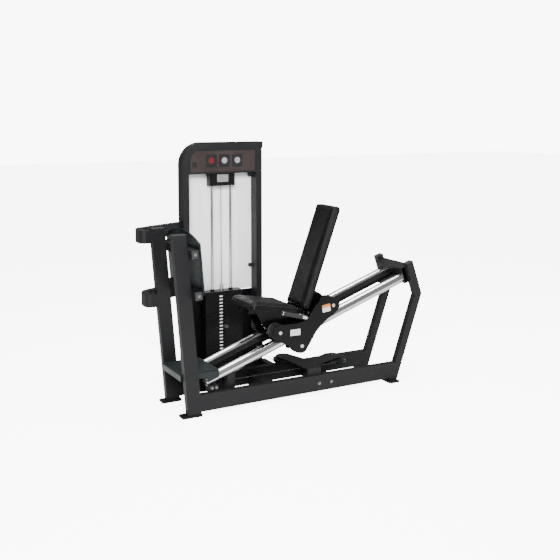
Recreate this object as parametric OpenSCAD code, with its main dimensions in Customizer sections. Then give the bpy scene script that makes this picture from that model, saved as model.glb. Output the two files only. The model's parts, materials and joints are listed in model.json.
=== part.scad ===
// Seated leg press: a seat carriage rolls on two inclined rails and lifts a
// weight stack through one cable. X runs from the footplate to the rear
// frame, Y from the rails to the weight tower, Z is up. Sizes in mm.

/* [Frame] */
// Overall width of the rail frame
frame_w = 448; // [400:1:520]
// Height of the two base tubes
base_h = 120; // [100:1:140]
// Thickness of the frame tubes across the machine
tube_d = 50; // [40:1:60]
// Wall of every steel tube
tube_wall = 3; // [2:0.5:4]
// Width of the front legs, seen from the side
leg_w = 100; // [80:1:110]
// Height of the front legs
leg_h = 1270; // [1240:1:1330]
// Lean of the front legs and the footplate
leg_lean = 4.6; // [3:0.1:7]
// Width of the rear posts, seen from the side
post_w = 60; // [50:1:70]
// Forward distance of the rear posts' knee
knee_x = 2000; // [1960:1:2080]
// Height of the rear posts' knee
knee_z = 675; // [640:1:700]
// Lean of the rear posts below the knee
post_lean = 19.1; // [15:0.1:22]
// Length of the rear posts above the knee
post_top = 265; // [250:1:300]
// Thickness of the floor plates
foot_t = 12; // [8:1:15]
// Diameter of the floor anchor holes
anchor_d = 13; // [10:1:16]

/* [Rails] */
// Slope of the rails
rail_angle = 19.1; // [16:0.1:21]
// Diameter of one rail
rail_d = 76; // [70:1:80]
// Distance between the rail centres
rail_gap = 264; // [256:1:272]
// Forward place of the rails' lower ends
rail_x = 208; // [200:1:230]
// Height of the rail axes at the lower ends
rail_z = 212; // [205:1:230]
// Travel of the seat carriage
travel = 450; // [300:1:460]

/* [Footplate] */
// Width of the footplate
plate_w = 596; // [520:1:640]
// Height of the footplate's middle
plate_h = 425; // [380:1:440]
// Radius of the footplate's arched top edge
plate_arch = 690; // [600:1:900]
// Thickness of the footplate
plate_t = 6; // [4:1:8]
// Thickness of the rubber on the footplate and the step
mat_t = 8; // [5:1:10]
// Height of the footplate's lower edge
plate_z = 855; // [840:1:880]
// Height of the step's top
step_z = 298; // [292:1:310]

/* [Tower] */
// Width of the weight tower
tower_w = 669; // [640:1:720]
// Depth of the weight tower
tower_d = 100; // [90:1:120]
// Height of the weight tower
tower_h = 1864; // [1820:1:1950]
// Outer radius of the tower's rounded corner
tower_r = 170; // [120:1:200]
// Forward place of the tower's left face
tower_x = 308; // [300:1:330]
// Distance from the middle plane to the tower's near face
tower_y = 468; // [440:1:500]
// Number of plates that lift with the pin
lift_plates = 10; // [4:1:14]
// Number of plates that stay down
rest_plates = 10; // [4:1:10]
// Pitch of the weight plates
plate_pitch = 26; // [22:1:26]
// Width of the weight plates
weight_w = 315; // [280:1:330]
// Diameter of the guide rods
rod_d = 20; // [16:1:25]
// Distance between the guide rods
rod_gap = 157; // [140:1:180]

/* [Carriage] */
// Radius of a roller at its groove
roller_r = 48; // [42:1:50]
// Width of a roller
roller_w = 56; // [50:1:60]
// Thickness of the side plates
side_t = 8; // [6:1:10]
// Diameter of the roller axles
axle_d = 16; // [12:1:20]
// Width of the seat pad
seat_w = 382; // [340:1:400]
// Length of the seat pad
seat_l = 395; // [360:1:400]
// Thickness of the pads
pad_t = 55; // [45:1:60]
// Slope of the seat, down to the rear
seat_tilt = 10; // [8:0.5:12]
// Width of the back pad
back_w = 290; // [260:1:320]
// Length of the back pad
back_l = 814; // [700:1:840]
// Lean of the back pad at its rearmost stop
back_lean = 20; // [18:0.5:24]
// Diameter of the handle bar
bar_d = 25; // [22:1:28]
// Diameter of the hand grips
grip_d = 33; // [31:1:36]

/* [Cable] */
// Diameter of the cable
cable_d = 5; // [4:0.5:6]
// Gap round the cable and round parts that turn
run_gap = 0.3; // [0.2:0.1:0.5]
// Radial gap of a running fit
fit_gap = 0.05; // [0.02:0.01:0.1]

/* [Hidden] */
$fn = 64;

// Frame
side_y = frame_w / 2 - tube_d;
leg_x = 94.5;
base_z = 30;
base_top = base_z + base_h;
rail_r = rail_d / 2;
knee_p = (knee_x - rail_x) * cos(rail_angle) + (knee_z - rail_z) * sin(rail_angle);
knee_h = (knee_z - rail_z) * cos(rail_angle) - (knee_x - rail_x) * sin(rail_angle);
head_depth = 90;
head_p = knee_p + post_w / 2 - head_depth;
head_low = -rail_r - 6;
head_high = rail_r + 48;
foot_front_x = -1;
foot_front_l = 151;
foot_in = side_y - 31;
anchor_y = foot_in + 17;
anchor_front_x = 76;
rear_foot_l = 96;
rear_foot_x = knee_x - (knee_z - foot_t) * tan(post_lean) - rear_foot_l / 2 - 12;
anchor_rear_x = rear_foot_x + 47;
arm_w = 50;
arm_h = 92;
arm_reach = 80;
arm_tops = [1262, 800];
arm_out = leg_x - leg_w / 2 - arm_tops[0] * tan(leg_lean) - arm_reach;
tube_in = 55;
plate_plane = leg_w / 2 + tube_in;
plate_side = plate_w / 2;
foot_tube_h = 60;
foot_tube_z = [plate_z - 30, plate_z + 255];
step_x0 = 8;
step_x1 = 300;
step_t = 40;

// Tower
tower_x1 = tower_x + tower_w;
tower_mid = (tower_x + tower_x1) / 2;
stack_y = tower_y + tower_d / 2;
weight_d = tower_d;
stack_base = 132;
bumper_h = 27;
plate_n = lift_plates + rest_plates;
stack_z = stack_base + bumper_h;
plate_play = 0.4;
lift_z = stack_z + rest_plates * plate_pitch;
head_z = stack_z + plate_n * plate_pitch;
head_t = 25;
stem_d = 24;
stem_bore = cable_d + 3;
stem_top = head_z + head_t + 52;
pin_d = 10;
pin_z = lift_z + plate_pitch / 2;
sign_h = 193;
sign_z = tower_h - tube_d - sign_h + 3;

// Cable and pulleys
cable_r = cable_d / 2;
run_rise = 22;
run_z = base_top + run_rise;
// The cable runs this far in from the near inner plate
cable_y = -(rail_gap / 2 - rail_r - 4 - side_t - 15);
top_r = 45;
top_z = tower_h - 224;
post_r = 40;
post_cable_x = tower_x1 - tube_d / 2;
base_r = 50;
far_r = 75;
near_r = 100;
front_r = 50;
front_x = 400;
near_disc_x = 1365;
near_disc_y = cable_y + near_r;
far_disc_x = post_cable_x + far_r;
far_disc_y = near_disc_y + near_r + far_r;
front_z = run_z + front_r;
pulley_w = 16;
cable_h = (front_z - rail_z) * cos(rail_angle) - (front_x - rail_x) * sin(rail_angle) + front_r;
cable_p = (front_x - rail_x) * cos(rail_angle) + (front_z - rail_z) * sin(rail_angle);
pulley_axle_d = 12;

// Carriage, in the rails' own frame: p along the rails, h square to them
roll_h = rail_r + roller_r + run_gap;
roll_front_p = 634;
roll_low_p = 767;
roll_rear_p = 1112;
roll_rim = 60;
side_out = rail_gap / 2 + rail_r + 12;
side_in = rail_gap / 2 - rail_r - 4;
cover_w = 80;
cover_h = 24;
cover_top = rail_r + 1;
cover_p = (step_x1 + 4 - rail_x) / cos(rail_angle) + cover_top * tan(rail_angle);
sleeve_p = cable_p + 12 + 196;
sleeve_l = travel + 14;
sleeve_d = 16;
pivot_x = 1075;
pivot_z = 600;
pivot_p = (pivot_x - rail_x) * cos(rail_angle) + (pivot_z - rail_z) * sin(rail_angle);
pivot_h = (pivot_z - rail_z) * cos(rail_angle) - (pivot_x - rail_x) * sin(rail_angle);
pivot_d = 20;
seat_x = 555;
seat_z = 745;
seat_tube = 30;
seat_tube_h = 40;
bar_x = 1000;
bar_z = 590;
bar_tilt = 16;
bar_y = 217;
bar_l = 222;
bar_bend = 34;
back_front = -89;
back_low = 11;
back_tube = 40;
back_tube_w = 60;
lock_r = 80;
lock_a = 40;
lock_tip_d = 6;
lock_out = 10;
lock_step = 0.1;
board_t = 12;

// The origin: middle of the machine's box, on the floor
shift_x = -(arm_out + knee_x + post_w / 2) / 2;
shift_y = -(tower_y + tower_d - plate_side) / 2;

module place() {
    translate([shift_x, shift_y, 0])
        children();
}

// Both sides of the middle plane
module both() {
    children();
    mirror([0, 1, 0])
        children();
}

// A flat outline in X and Z, thick along Y from y0
module upright(y0, thick) {
    translate([0, y0 + thick, 0])
        rotate([90, 0, 0])
            linear_extrude(thick)
                children();
}

module rod_y(x, y0, z, d, l) {
    translate([x, y0, z])
        rotate([-90, 0, 0])
            cylinder(d = d, h = l);
}

module on_rail() {
    translate([rail_x, 0, rail_z])
        rotate([0, -rail_angle, 0])
            children();
}

module on_leg() {
    translate([leg_x, 0, 0])
        rotate([0, -leg_lean, 0])
            children();
}

module rounded(w, d, r) {
    translate([r, r])
        circle(r);
    translate([w - r, r])
        circle(r);
    translate([r, d - r])
        circle(r);
    translate([w - r, d - r])
        circle(r);
    translate([r, 0])
        square([w - 2 * r, d]);
    translate([0, r])
        square([w, d - 2 * r]);
}

// A square tube along X with open ends
module tube_x(l, d, h, wall) {
    difference() {
        cube([l, d, h]);
        translate([-1, wall, wall])
            cube([l + 2, d - 2 * wall, h - 2 * wall]);
    }
}

// A square tube along Y with open ends
module tube_y(w, l, h, wall) {
    difference() {
        cube([w, l, h]);
        translate([wall, -1, wall])
            cube([w - 2 * wall, l + 2, h - 2 * wall]);
    }
}

function leg_face(z) = leg_x + leg_w / 2 / cos(leg_lean) - z * tan(leg_lean);
function post_face(z) = knee_x - (knee_z - z) * tan(post_lean) - post_w / 2 / cos(post_lean);

module foot_holes() {
    for (x = [anchor_front_x, anchor_rear_x])
        translate([x, -anchor_y, -1])
            cylinder(d = anchor_d, h = foot_t + 2);
}

module foot_plates() {
    color("dimgray")
    place() {
        both()
            difference() {
                union() {
                    translate([foot_front_x, -frame_w / 2 - 10, 0])
                        linear_extrude(foot_t)
                            rounded(foot_front_l, frame_w / 2 + 10 - foot_in, 14);
                    translate([rear_foot_x, -frame_w / 2 - 40, 0])
                        linear_extrude(foot_t)
                            rounded(rear_foot_l, frame_w / 2 + 40 - foot_in, 14);
                }
                foot_holes();
            }
        for (x = [tower_x - 20, tower_x1 - tube_d - 20])
            translate([x, tower_y, 0])
                cube([tube_d + 40, tower_d, foot_t]);
    }
}

module base_outline(wall) {
    low = base_z + wall;
    high = base_top - wall;
    polygon([
        [leg_face(low), low], [post_face(low), low],
        [post_face(high), high], [leg_face(high), high]
    ]);
}

module base_tube() {
    difference() {
        upright(-frame_w / 2, tube_d)
            base_outline(0);
        upright(-frame_w / 2 + tube_wall, tube_d - 2 * tube_wall)
            base_hollow();
    }
}

// The base tube's hollow runs past both of its ends
module base_hollow() {
    low = base_z + tube_wall;
    high = base_top - tube_wall;
    polygon([
        [leg_face(low) - 9, low], [post_face(low) + 9, low],
        [post_face(high) + 9, high], [leg_face(high) - 9, high]
    ]);
}

module near_base_tube() {
    color("#3a3a3c")
    place()
        base_tube();
}

module far_base_tube() {
    color("#3a3a3c")
    place()
        mirror([0, 1, 0])
            base_tube();
}

module leg_solid(wall) {
    on_leg()
        translate([-leg_w / 2 + wall, -frame_w / 2 + wall, -40])
            cube([leg_w - 2 * wall, tube_d - 2 * wall, leg_h + 200]);
}

module front_leg() {
    difference() {
        intersection() {
            leg_solid(0);
            translate([-300, -frame_w, foot_t])
                cube([900, 2 * frame_w, leg_h - foot_t]);
        }
        leg_solid(tube_wall);
    }
}

module near_front_leg() {
    color("#3c3c3e")
    place()
        front_leg();
}

module far_front_leg() {
    color("#3c3c3e")
    place()
        mirror([0, 1, 0])
            front_leg();
}

// A bent post's outline: an arc outside the knee, a mitre inside it
module post_outline(wall, over) {
    half = post_w / 2 - wall;
    low = 1.2 * knee_z;
    high = post_top + over;
    turn = post_lean + rail_angle;
    knee = [knee_x, knee_z];
    down = -low * [sin(post_lean), cos(post_lean)];
    up = high * [-sin(rail_angle), cos(rail_angle)];
    polygon(concat(
        [knee + down + half * [cos(post_lean), -sin(post_lean)]],
        [for (i = [0 : 6]) knee + half * [cos(i * turn / 6 - post_lean), sin(i * turn / 6 - post_lean)]],
        [knee + up + half * [cos(rail_angle), sin(rail_angle)]],
        [knee + up - half * [cos(rail_angle), sin(rail_angle)]],
        [knee - half / cos(turn / 2) * [cos(turn / 2 - post_lean), sin(turn / 2 - post_lean)]],
        [knee + down - half * [cos(post_lean), -sin(post_lean)]]
    ));
}

module post_solid(wall, extra) {
    upright(-frame_w / 2 + wall, tube_d - 2 * wall)
        post_outline(wall, extra);
}

module rear_post() {
    difference() {
        intersection() {
            post_solid(0, 0);
            translate([0, -frame_w, foot_t])
                cube([knee_x + 300, 2 * frame_w, 2 * knee_z]);
        }
        post_solid(tube_wall, 5);
    }
}

module near_rear_post() {
    color("#3c3c3e")
    place()
        rear_post();
}

module far_rear_post() {
    color("#3c3c3e")
    place()
        mirror([0, 1, 0])
            rear_post();
}

module rear_cross_tube() {
    color("#3a3a3c")
    place()
    on_rail()
        difference() {
            translate([head_p, -side_y, head_low])
                tube_y(head_depth, 2 * side_y, head_high - head_low, tube_wall);
            // The drain slot at the underside
            translate([head_p + head_depth / 2, 0, head_low - 1])
                cylinder(d = 10, h = tube_wall + 2);
        }
}

cross_xs = [355, 700, 1170];
module floor_cross_tubes() {
    color("#363638")
    place() {
        for (x = cross_xs)
            translate([x, -side_y, base_z])
                tube_y(90, 2 * side_y, 80, tube_wall);
    }
}

module end_caps() {
    color("#161617")
    place() {
        both() {
            translate([leg_face(leg_h) - leg_w / cos(leg_lean), -frame_w / 2, leg_h])
                cube([leg_w / cos(leg_lean), tube_d, 4]);
            translate([knee_x, -frame_w / 2, knee_z])
                rotate([0, -rail_angle, 0])
                    translate([-post_w / 2, 0, post_top])
                        cube([post_w, tube_d, 5]);
            on_leg()
                for (z = foot_tube_z)
                    translate([leg_w / 2 + 2, -plate_side + 12, z + 2])
                        cube([tube_in - 4, 4, foot_tube_h - 4]);
        }
    }
}

module footplate_tubes() {
    color("#3a3a3c")
    place()
    on_leg()
        for (z = foot_tube_z)
            translate([leg_w / 2, -plate_side + 16, z])
                tube_y(tube_in, 2 * plate_side - 32, foot_tube_h, tube_wall);
}

// The footplate's outline: an arch between two straight sides
module arch_outline(inset) {
    intersection() {
        translate([-plate_side + inset, plate_z + inset])
            square([2 * plate_side - 2 * inset, plate_h - 2 * inset]);
        translate([0, plate_z + plate_h - plate_arch])
            circle(plate_arch - inset, $fn = 128);
    }
}

module footplate() {
    color("#2c3636")
    place()
    on_leg()
        translate([plate_plane, 0, 0])
            rotate([90, 0, 90])
                linear_extrude(plate_t)
                    arch_outline(0);
}

module footplate_mat() {
    color("#101a1a")
    place()
    on_leg()
        translate([plate_plane + plate_t, 0, 0])
            rotate([90, 0, 90])
                linear_extrude(mat_t)
                    arch_outline(6);
}

module rail_pair(r, l) {
    on_rail()
        for (y = [-rail_gap / 2, rail_gap / 2])
            translate([0, y, 0])
                rotate([0, 90, 0])
                    cylinder(r = r, h = l);
}

module guide_rails() {
    color("silver")
    place()
        difference() {
            rail_pair(rail_r, head_p);
            translate([0, 0, 0])
                on_rail()
                    for (y = [-rail_gap / 2, rail_gap / 2])
                        translate([4, y, 0])
                            rotate([0, 90, 0])
                                cylinder(r = rail_r - tube_wall, h = head_p - 8);
        }
}

// Bent sheet: top, two sides whose cheeks reach the rails, and a front lip
step_low = step_z - mat_t - step_t;
function rail_axis(x) = rail_z + (x - rail_x) * tan(rail_angle);

module cheek_outline() {
    polygon([
        [step_x0, step_low], [step_x0, step_low + step_t],
        [step_x1, step_low + step_t], [step_x1, rail_axis(step_x1)],
        [rail_x + 6, rail_axis(rail_x + 6)], [rail_x - 10, step_low]
    ]);
}

module step_tray() {
    sheet = 3;
    color("#333335")
    place()
        difference() {
            union() {
                translate([step_x0, -side_y, step_low + step_t - sheet])
                    cube([step_x1 - step_x0, 2 * side_y, sheet]);
                both()
                    upright(-side_y, sheet)
                        cheek_outline();
                for (x = [step_x0, step_x1 - sheet])
                    translate([x, -side_y, step_low])
                        cube([sheet, 2 * side_y, step_t]);
            }
            rail_pair(rail_r + 1, 300);
        }
}

module step_mat() {
    color("#101a1a")
    place()
        translate([step_x0 + 3, -side_y + 3, step_z - mat_t])
            linear_extrude(mat_t)
                rounded(step_x1 - step_x0 - 6, 2 * side_y - 6, 12);
}

// Saddles at the lower ends, and the head bracket at the upper ends
saddle_x = cross_xs[0] + 15;
rest_x = rail_x + 14;
rest_l = 70;
module rail_brackets() {
    color("#3a3a3c")
    place() {
        difference() {
            union() {
                for (y = [-rail_gap / 2, rail_gap / 2])
                    translate([saddle_x, y - 25, base_z + 80])
                        cube([60, 50, rail_axis(saddle_x) - base_z - 80]);
                // The rests on the base tubes at the very ends
                both()
                    translate([rest_x, -side_y - 6, base_top])
                        cube([rest_l, side_y + 6 - rail_gap / 2 + 20, rail_z - rail_r + 16 - base_top]);
                on_rail()
                    translate([head_p - 150, -rail_gap / 2, cover_top - cover_h - 8])
                        cube([150, rail_gap, 8]);
            }
            rail_pair(rail_r, head_p);
        }
    }
}

module cable_cover() {
    wall = 3;
    color("#2e2e30")
    place()
    on_rail()
        difference() {
            translate([cover_p, -cover_w / 2, cover_top - cover_h])
                cube([head_p - cover_p, cover_w, cover_h]);
            translate([cover_p - 1, -cover_w / 2 + wall, cover_top - cover_h - 1])
                cube([head_p - cover_p + 1 - wall, cover_w - 2 * wall, cover_h + 1 - wall]);
        }
}

// One arm: a stub behind the far leg, a bend, and a run to the tower
arm_run = 66;
arm_bend = 90;
arm_lap = 5;
arm_step = 0.5;
module arm_path(z_top, wall) {
    w = arm_w - 2 * wall;
    face = leg_x - leg_w / 2 - z_top * tan(leg_lean);
    x0 = face - arm_reach;
    y0 = side_y;
    corner = 40;
    cx = x0 + arm_bend + arm_w;
    cy = y0 + 90;
    translate([0, 0, z_top - arm_h + wall])
        linear_extrude(arm_h - 2 * wall) {
            // The stub, then the piece beside the leg
            translate([x0 + corner, y0 + wall])
                square([arm_reach + 20, w]);
            intersection() {
                translate([x0 + wall, y0 + wall])
                    square(corner - wall);
                translate([x0 + corner, y0 + corner])
                    circle(corner - wall);
            }
            translate([x0 + wall, y0 + corner])
                square([w, 90 - corner]);
            // The bend
            intersection() {
                translate([cx, cy])
                    difference() {
                        circle(arm_bend + arm_w - wall);
                        circle(arm_bend + wall);
                    }
                translate([cx, cy])
                    polygon([
                        [0, 0], [-400, 0], [-400, 400],
                        [-400 * cos(arm_run), 400 * sin(arm_run)]
                    ]);
            }
            // The run to the tower's post steps in a little at its weld
            translate([cx, cy])
                rotate(-arm_run)
                    translate([-arm_bend - arm_w + wall + arm_step, -arm_lap])
                        square([w - 2 * arm_step, 460 + arm_lap]);
        }
}

module tower_arms() {
    color("#3a3a3c")
    place()
        difference() {
            for (z = arm_tops)
                arm_path(z, 0);
            for (z = arm_tops)
                arm_path(z, tube_wall);
            // Everything ahead of the far leg's rear face
            on_leg()
                translate([-leg_w / 2, 0, 0])
                    cube([400, side_y + arm_w + 1, leg_h + 100]);
            translate([tower_x, tower_y - 60, 0])
                cube([400, 400, tower_h]);
        }
}

// The tower's left post and top beam are one bent tube
module hoop_solid(wall) {
    w = tube_d - 2 * wall;
    d = tower_d - 2 * wall;
    y = tower_y + wall;
    translate([tower_x + wall, y, foot_t - (wall > 0 ? 1 : 0)])
        cube([w, d, tower_h - tower_r - foot_t + (wall > 0 ? 1 : 0)]);
    translate([tower_x + tower_r, y, tower_h - tower_r])
        rotate([-90, 0, 0])
            rotate([0, 0, 180])
                rotate_extrude(angle = 90)
                    translate([tower_r - tube_d + wall, 0])
                        square([w, d]);
    translate([tower_x + tower_r, y, tower_h - tube_d + wall])
        cube([tower_w - tower_r + 8 + (wall > 0 ? 1 : 0), d, w]);
}

module tower_hoop() {
    color("#3c3c3e")
    place()
        difference() {
            hoop_solid(0);
            hoop_solid(tube_wall);
        }
}

module tower_right_post() {
    color("#3c3c3e")
    place()
        difference() {
            translate([tower_x1 - tube_d, tower_y, foot_t])
                cube([tube_d, tower_d, tower_h - tube_d - foot_t]);
            translate([tower_x1 - tube_d + tube_wall, tower_y + tube_wall, 0])
                cube([tube_d - 2 * tube_wall, tower_d - 2 * tube_wall, tower_h]);
            // Slots for the upper and the lower pulley
            translate([tower_x1 - tube_d - 1, stack_y - 14, top_z + top_r - 2 * post_r - 16])
                cube([tube_wall + 2, 28, 2 * post_r + 32]);
            translate([post_cable_x - 14, tower_y - 1, run_z - 14])
                cube([28, tube_wall + 2, 2 * base_r + 28]);
            // The bolt holes of the pulleys' axles
            translate([tower_x1 - tube_d - 1, stack_y - base_r, run_z + base_r])
                rotate([0, 90, 0])
                    cylinder(d = pulley_axle_d + 2 * fit_gap, h = tube_d + 2);
        }
}

tie_xs = [tower_x, tower_x1 - 27];
module tower_base() {
    color("#363638")
    place() {
        translate([tower_x + tube_d, tower_y, base_z])
            tube_x(tower_w - 2 * tube_d, tower_d, stack_base - base_z, tube_wall);
        for (x = tie_xs)
            translate([x, frame_w / 2, base_z])
                tube_y(tube_d, tower_y - frame_w / 2, 90, tube_wall);
    }
}

// The tower's window above z, rounded where the hoop bends
module window_outline(z) {
    r = tower_r - tube_d;
    x0 = tower_x + tube_d;
    z1 = tower_h - tube_d;
    intersection() {
        translate([x0, z1 - r])
            square(r);
        translate([x0 + r, z1 - r])
            circle(r);
    }
    translate([x0 + r, z])
        square([tower_w - 2 * tube_d - r, z1 - z]);
    translate([x0, z])
        square([r, z1 - r - z]);
}

module rear_shroud() {
    color([0.93, 0.94, 0.95])
    place()
        upright(tower_y + tower_d - 5, 4)
            window_outline(head_z + 10);
}

module lower_shroud() {
    color("#0c0c0d")
    place()
        difference() {
            translate([tower_x + tube_d, tower_y + tower_d, foot_t + 4])
                translate([0, -3, 0])
                    cube([tower_w - 2 * tube_d, 3, head_z + 10 - foot_t - 8]);
            translate([tower_x + tube_d - 1, tower_y + tower_d - 4, base_z - 2])
                cube([tower_w - 2 * tube_d + 2, 5, stack_base - base_z + 4]);
        }
}

module sign_panel() {
    color("#514846")
    place()
        upright(tower_y, 4)
            window_outline(sign_z);
}

module sign_tiles() {
    color("#111112")
    place() {
        for (i = [0 : 2])
            translate([tower_x + 190 + 110 * i, tower_y - 1.5, sign_z + 50])
                cube([88, 1.5, 96]);
        translate([tower_x + tube_d + 28, tower_y - 1.5, sign_z + 52])
            cube([36, 1.5, 40]);
    }
}

housing_z = top_z - 112;
housing_h = 140;
housing_floor = 12;
module pulley_housing() {
    low = housing_z;
    color("#141415")
    place() {
        difference() {
            translate([tower_mid - 106, stack_y - 30, low])
                cube([212, 60, housing_h]);
            translate([tower_mid - 103, stack_y - 26, low + housing_floor])
                cube([206, 52, 200]);
            for (s = [-1, 1])
                translate([tower_mid + s * rod_gap / 2, stack_y, low - 1])
                    cylinder(d = rod_d + 2 * fit_gap, h = housing_floor + 2);
            translate([tower_mid, stack_y, low - 1])
                cylinder(d = stem_bore + 4, h = housing_floor + 2);
            rod_y(tower_mid + top_r, stack_y - 40, top_z, pulley_axle_d + 2 * fit_gap, 80);
        }
        // Hanger straps up to the top beam, each side of the pulley
        for (y = [stack_y - 30, stack_y + 26])
            translate([tower_mid + top_r - 30, y, low + housing_h])
                cube([60, 4, tower_h - tube_d - low - housing_h]);
    }
}

module guide_rods() {
    color("lightgray")
    place()
        for (s = [-1, 1])
            translate([tower_mid + s * rod_gap / 2, stack_y, stack_base])
                cylinder(d = rod_d, h = housing_z + housing_floor - stack_base);
}

module stack_bumpers() {
    color("#1b1b1c")
    place()
        for (s = [-1, 1])
            translate([tower_mid + s * rod_gap / 2, stack_y, stack_base])
                difference() {
                    cylinder(d = 60, h = bumper_h);
                    translate([0, 0, -1])
                        cylinder(d = rod_d + 2 * fit_gap, h = bumper_h + 2);
                }
}

// Weight plates from plate a up to plate b, with every hole they need
module weights(a, b, pin) {
    difference() {
        for (i = [a : b])
            translate([tower_mid - weight_w / 2, tower_y, stack_z + i * plate_pitch])
                cube([weight_w, weight_d - 8, plate_pitch - plate_play]);
        for (s = [-1, 1])
            translate([tower_mid + s * rod_gap / 2, stack_y, 0])
                cylinder(d = rod_d + 2, h = tower_h);
        translate([tower_mid, stack_y, 0])
            cylinder(d = stem_d + 2, h = tower_h);
        if (pin)
            for (i = [a : b])
                rod_y(tower_mid, tower_y - 1, stack_z + (i + 0.5) * plate_pitch, pin_d + 1, weight_d);
    }
}

module rest_stack() {
    color("#19191a")
    place()
        weights(0, rest_plates - 1, true);
}

module lift_stack() {
    color("#19191a")
    place() {
        weights(rest_plates, plate_n - 1, true);
        // The head plate, with two guide bushes and the stem's seat
        difference() {
            union() {
                translate([tower_mid - weight_w / 2, tower_y, head_z])
                    cube([weight_w, weight_d - 8, head_t]);
                for (s = [-1, 1])
                    translate([tower_mid + s * rod_gap / 2, stack_y, head_z])
                        cylinder(d = rod_d + 14, h = head_t + 12);
            }
            for (s = [-1, 1])
                translate([tower_mid + s * rod_gap / 2, stack_y, head_z - 1])
                    cylinder(d = rod_d + 2 * fit_gap + 0.1, h = head_t + 20);
            translate([tower_mid, stack_y, head_z - 1])
                cylinder(d = stem_d + 2 * fit_gap, h = head_t + 20);
        }
    }
}

module plate_labels(a, b) {
    for (i = [a : b])
        translate([tower_mid - 40, tower_y - 1, stack_z + (i + 0.5) * plate_pitch - 5])
            cube([26, 1, 10]);
}

module rest_labels() {
    color("white")
    place()
        plate_labels(0, rest_plates - 1);
}

module lift_labels() {
    color("white")
    place()
        plate_labels(rest_plates, plate_n - 1);
}

// The stem is a tube, so that the cable can run inside it as it rises
module selector_stem() {
    low = stack_z + 4;
    color("#9a9da0")
    place()
        translate([tower_mid, stack_y, 0])
            difference() {
                union() {
                    translate([0, 0, low])
                        cylinder(d = stem_d, h = stem_top - low);
                    translate([0, 0, head_z + head_t])
                        cylinder(d = stem_d + 12, h = 14);
                }
                translate([0, 0, low - 1])
                    cylinder(d = stem_bore, h = stem_top - low + 2);
                for (i = [0 : plate_n - 1])
                    rod_y(0, -stem_d, stack_z + (i + 0.5) * plate_pitch, pin_d + 2 * fit_gap, 2 * stem_d);
            }
}

// The pin's tip stops in the stem's wall, short of the cable's bore
module selector_pin() {
    reach = stack_y - stem_bore / 2 - 1 - tower_y;
    color("#151515")
    place() {
        rod_y(tower_mid, tower_y - 22, pin_z, pin_d, 22 + reach);
        rod_y(tower_mid, tower_y - 46, pin_z, 30, 24);
    }
}

// A pulley on the Z axis with a grooved rim and a bore
module pulley(r, w, bore) {
    difference() {
        rotate_extrude($fn = 96)
            difference() {
                translate([bore / 2, -w / 2])
                    square([r + 7 - bore / 2, w]);
                translate([r, 0])
                    circle(cable_r + run_gap);
                translate([r, -cable_r - run_gap])
                    square([10, cable_d + 2 * run_gap]);
                for (s = [-1, 1])
                    translate([bore / 2 + 9, s * (w / 2 - 1.5) - 1.5])
                        square([r - 20 - bore / 2, 3]);
            }
    }
}

module pulley_y(x, y, z, r) {
    translate([x, y, z])
        rotate([90, 0, 0])
            pulley(r, pulley_w, pulley_axle_d + 2 * fit_gap);
}

module top_pulley() {
    color("#1d1d1f")
    place()
        pulley_y(tower_mid + top_r, stack_y, top_z, top_r);
}

module post_pulley() {
    color("#1d1d1f")
    place()
        pulley_y(post_cable_x - post_r, stack_y, top_z + top_r - post_r, post_r);
}

module base_pulley() {
    color("#1d1d1f")
    place()
        translate([post_cable_x, stack_y - base_r, run_z + base_r])
            rotate([0, 90, 0])
                pulley(base_r, pulley_w, pulley_axle_d + 2 * fit_gap);
}

module near_disc() {
    color("#22302e")
    place()
        translate([near_disc_x, near_disc_y, run_z])
            pulley(near_r, 26, pulley_axle_d + 2 * fit_gap);
}

module far_disc() {
    color("#1d1d1f")
    place()
        translate([far_disc_x, far_disc_y, run_z])
            pulley(far_r, 24, pulley_axle_d + 2 * fit_gap);
}

module front_pulley() {
    color("#1d1d1f")
    place()
        pulley_y(front_x, cable_y, front_z, front_r);
}

bridge_z = run_z + 22;
bridge_x = 1005;
module pulley_bridge() {
    leg_l = 115;
    leg_y = -frame_w / 2 + 22;
    color("#353537")
    place() {
        difference() {
            union() {
                translate([0, 0, bridge_z])
                    linear_extrude(8) {
                        translate([far_disc_x, far_disc_y])
                            circle(62);
                        translate([near_disc_x, near_disc_y])
                            circle(74);
                        polygon([
                            [bridge_x, leg_y], [bridge_x + leg_l, leg_y],
                            [bridge_x + leg_l + 50, -100],
                            [near_disc_x, near_disc_y - 74],
                            [near_disc_x, near_disc_y + 60],
                            [bridge_x + leg_l + 20, 20],
                            [far_disc_x + 61, far_disc_y],
                            [far_disc_x - 61, far_disc_y],
                            [bridge_x - 10, 20]
                        ]);
                    }
                translate([bridge_x, leg_y, base_top])
                    cube([leg_l, 8, bridge_z - base_top]);
                translate([bridge_x, leg_y, base_top])
                    cube([leg_l, 26, 6]);
            }
            for (c = [[far_disc_x, far_disc_y], [near_disc_x, near_disc_y]])
                translate([c[0], c[1], bridge_z - 1])
                    cylinder(d = pulley_axle_d, h = 10);
        }
    }
}

module front_pulley_bracket() {
    low = base_z + 80;
    color("#353537")
    place()
        difference() {
            union()
                for (s = [-1, 1])
                    translate([front_x - 24, cable_y - 3 + s * 14, low])
                        cube([48, 6, front_z - low + 24]);
            rod_y(front_x, cable_y - 40, front_z, pulley_axle_d, 80);
        }
}

// Hexagon head and washer of a bolt whose shank is hidden in its tube
module bolt_y(x, y, z, side) {
    translate([x, y, z])
        rotate([side > 0 ? -90 : 90, 0, 0]) {
            cylinder(d = 24, h = 2.5);
            translate([0, 0, 2.5])
                cylinder(d = 18, h = 7, $fn = 6);
        }
}

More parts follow.
